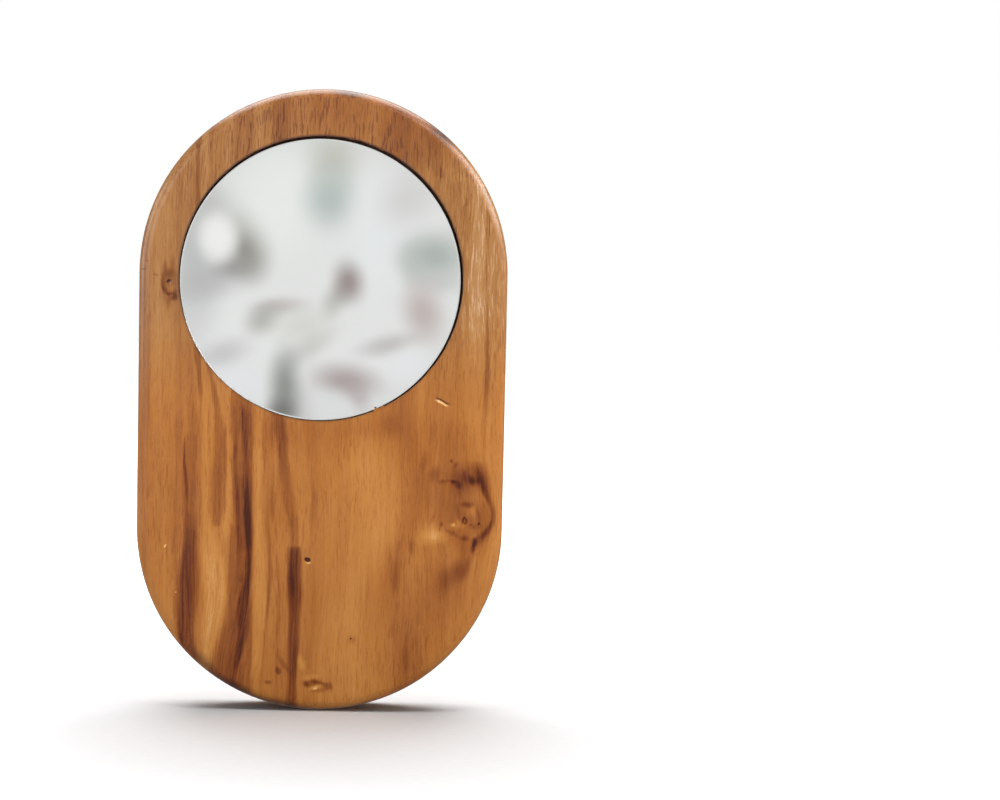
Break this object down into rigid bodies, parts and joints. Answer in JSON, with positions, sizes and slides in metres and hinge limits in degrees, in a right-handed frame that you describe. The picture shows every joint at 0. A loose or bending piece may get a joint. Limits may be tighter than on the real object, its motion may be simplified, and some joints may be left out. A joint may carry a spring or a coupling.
{
  "type": "hand mirror",
  "caption": "Round-ended hardwood board with a round glass mirror set flush in a recess near one end; the plain lower end is the grip.",
  "frame": {"origin": "straight under the lowest point of the board, in the middle of its thickness", "axes": "+Z along the board, from the grip end to the mirror end; the mirror faces -Y and the flat back faces +Y; +X is to the right of someone who looks into the mirror"},
  "size_m": [0.13, 0.018, 0.22],
  "materials": {
    "varnished_hardwood": "satin varnish over straight-grained orange-brown hardwood with dark streaks and knots",
    "mirror_glass": "polished clear float glass",
    "mirror_silver": "silvered, with a protective paint behind",
    "mirror_adhesive": "cured mirror adhesive"
  },
  "bodies": {
    "root": {"wood_body": "varnished_hardwood", "mirror_glass": "mirror_glass", "silver_coat": "mirror_silver", "adhesive_dab_centre": "mirror_adhesive", "adhesive_dab_top": "mirror_adhesive", "adhesive_dab_right": "mirror_adhesive", "adhesive_dab_bottom": "mirror_adhesive", "adhesive_dab_left": "mirror_adhesive"}
  },
  "joints": []
}
